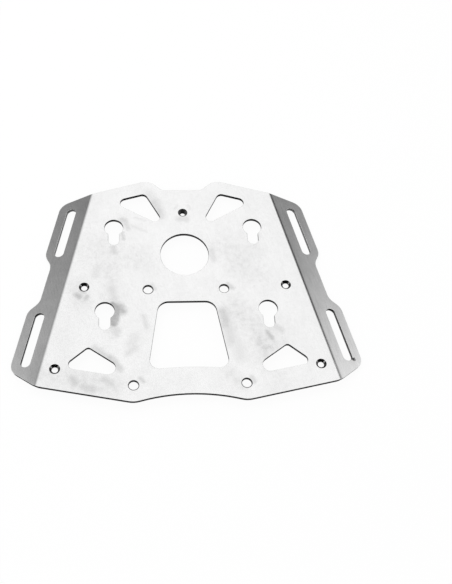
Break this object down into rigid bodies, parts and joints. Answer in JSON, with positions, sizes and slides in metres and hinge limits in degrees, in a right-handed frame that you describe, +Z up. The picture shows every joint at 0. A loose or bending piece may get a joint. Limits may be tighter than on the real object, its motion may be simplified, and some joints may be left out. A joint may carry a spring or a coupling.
{
  "type": "top case mounting plate",
  "caption": "Sheet-metal plate with folded side wings, strap slots, keyholes, lightening windows and screw holes, for carrying a top case on a motorcycle's luggage rack.",
  "frame": {"origin": "centre of the large round hole, on the plate's top face", "axes": "+Z up, square to the plate; +Y to the rear of the motorcycle; +X to the right, across both wings"},
  "size_m": [0.3008, 0.2251, 0.0099],
  "materials": {
    "aluminium": "satin"
  },
  "bodies": {
    "root": {"mounting_plate": "aluminium"}
  },
  "joints": []
}
